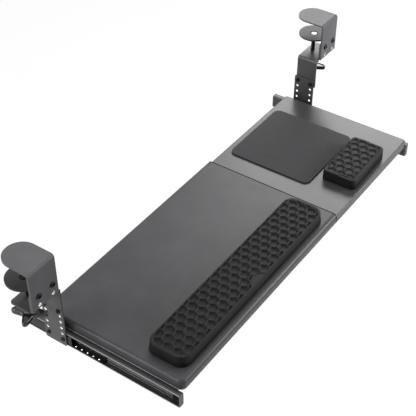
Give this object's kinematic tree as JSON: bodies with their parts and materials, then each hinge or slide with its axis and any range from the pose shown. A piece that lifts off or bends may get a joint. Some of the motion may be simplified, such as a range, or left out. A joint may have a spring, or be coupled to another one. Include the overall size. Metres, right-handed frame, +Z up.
{
  "type": "clamp-on under-desk keyboard tray",
  "caption": "Steel keyboard and mouse tray that clamps under a desk's front edge, pulls out on ball-bearing slides and widens by a nested mouse panel.",
  "frame": {"origin": "Midway between the two clamps, where the plane of the desk's top (the underside of the hooks' tongues) meets the plane of the desk's front edge (the back of the hooks' plates), with the tray pulled out as the picture shows it.", "axes": "+X runs along the desk's edge to the user's right, from the keyboard panel to the mouse panel; +Y points away from the user, under the desk; +Z is up."},
  "size_m": [0.9076, 0.305, 0.2085],
  "materials": {
    "keyboard_panel_steel": "dark grey fine-textured powder coat",
    "mouse_panel_steel": "dark grey satin powder coat",
    "rail_steel": "black electrophoretic coat",
    "slide_steel": "black satin coat",
    "bracket_steel": "dark grey fine-textured powder coat",
    "hook_steel": "dark grey satin powder coat",
    "disc_steel": "dark grey satin powder coat",
    "zinc_steel": "zinc plate",
    "black_steel": "black oxide",
    "cage_steel": "blackened strip",
    "ball_steel": "polished bearing steel",
    "spindle_steel": "black oxide thread",
    "knob_plastic": "black moulded plastic",
    "stop_rubber": "black rubber",
    "rest_foam": "black moulded soft polymer",
    "pad_rubber": "dark grey cloth face on rubber"
  },
  "bodies": {
    "left_mount": {"left_hook": "hook_steel", "left_hook_screws": "black_steel", "left_hook_nuts": "black_steel", "left_clamp_bracket": "bracket_steel", "left_spindle_nut": "bracket_steel", "left_hanger": "bracket_steel", "left_hanger_bolts": "black_steel", "left_hanger_nuts": "black_steel", "left_slide_inner": "cage_steel", "left_slide_screws": "black_steel"},
    "left_foot": {"left_disc": "disc_steel"},
    "left_screw": {"left_spindle": "spindle_steel", "left_knob": "knob_plastic"},
    "left_cage": {"left_ball_cage": "cage_steel", "left_balls": "ball_steel"},
    "tray": {"left_panel": "keyboard_panel_steel", "front_guide": "rail_steel", "back_guide": "rail_steel", "guide_nuts": "zinc_steel", "left_carrier": "bracket_steel", "left_carrier_screws": "zinc_steel", "left_carrier_nuts": "zinc_steel", "left_slide_outer": "slide_steel", "left_bumper": "stop_rubber", "keyboard_wrist_rest": "rest_foam"},
    "extension": {"right_panel": "mouse_panel_steel", "front_runner": "rail_steel", "back_runner": "rail_steel", "runner_nuts": "zinc_steel", "right_carrier": "bracket_steel", "right_carrier_screws": "zinc_steel", "right_carrier_nuts": "zinc_steel", "right_slide_outer": "slide_steel", "right_bumper": "stop_rubber", "mouse_wrist_rest": "rest_foam", "mouse_pad": "pad_rubber"},
    "right_mount": {"right_hook": "hook_steel", "right_hook_screws": "black_steel", "right_hook_nuts": "black_steel", "right_clamp_bracket": "bracket_steel", "right_spindle_nut": "bracket_steel", "right_hanger": "bracket_steel", "right_hanger_bolts": "black_steel", "right_hanger_nuts": "black_steel", "right_slide_inner": "cage_steel", "right_slide_screws": "black_steel"},
    "right_foot": {"right_disc": "disc_steel"},
    "right_screw": {"right_spindle": "spindle_steel", "right_knob": "knob_plastic"},
    "right_cage": {"right_ball_cage": "cage_steel", "right_balls": "ball_steel"}
  },
  "joints": [
    {"name": "tray_slide", "type": "slide", "parent": "left_mount", "child": "tray", "axis": [0, 1, 0], "range_m": [0, 0.185]},
    {"name": "left_cage_roll", "type": "slide", "parent": "left_mount", "child": "left_cage", "axis": [0, 1, 0], "range_m": [0, 0.0925]},
    {"name": "extension_slide", "type": "slide", "parent": "tray", "child": "extension", "axis": [1, 0, 0], "range_m": [-0.045, 0.06]},
    {"name": "right_mount_slide", "type": "slide", "parent": "extension", "child": "right_mount", "axis": [0, 1, 0], "range_m": [-0.185, 0]},
    {"name": "right_cage_roll", "type": "slide", "parent": "extension", "child": "right_cage", "axis": [0, 1, 0], "range_m": [-0.0925, 0]},
    {"name": "left_clamp_travel", "type": "slide", "parent": "left_mount", "child": "left_foot", "axis": [0, 0, 1], "range_m": [-0.004, 0.0175]},
    {"name": "left_knob_turn", "type": "hinge", "parent": "left_foot", "child": "left_screw", "pos_m": [-0.4243, 0.0315, -0.059], "axis": [0, 0, 1], "range_deg": [-1155, 5045]},
    {"name": "right_clamp_travel", "type": "slide", "parent": "right_mount", "child": "right_foot", "axis": [0, 0, 1], "range_m": [-0.004, 0.0175]},
    {"name": "right_knob_turn", "type": "hinge", "parent": "right_foot", "child": "right_screw", "pos_m": [0.4243, 0.0315, -0.059], "axis": [0, 0, 1], "range_deg": [-1155, 5045]}
  ],
  "couplings": [
    {"joint": "left_cage_roll", "follows": "tray_slide", "ratio": 0.5},
    {"joint": "right_mount_slide", "follows": "tray_slide", "ratio": -1},
    {"joint": "right_cage_roll", "follows": "tray_slide", "ratio": -0.5},
    {"joint": "left_knob_turn", "follows": "left_clamp_travel", "rad_per_m": 5026.5},
    {"joint": "right_knob_turn", "follows": "right_clamp_travel", "rad_per_m": 5026.5}
  ]
}
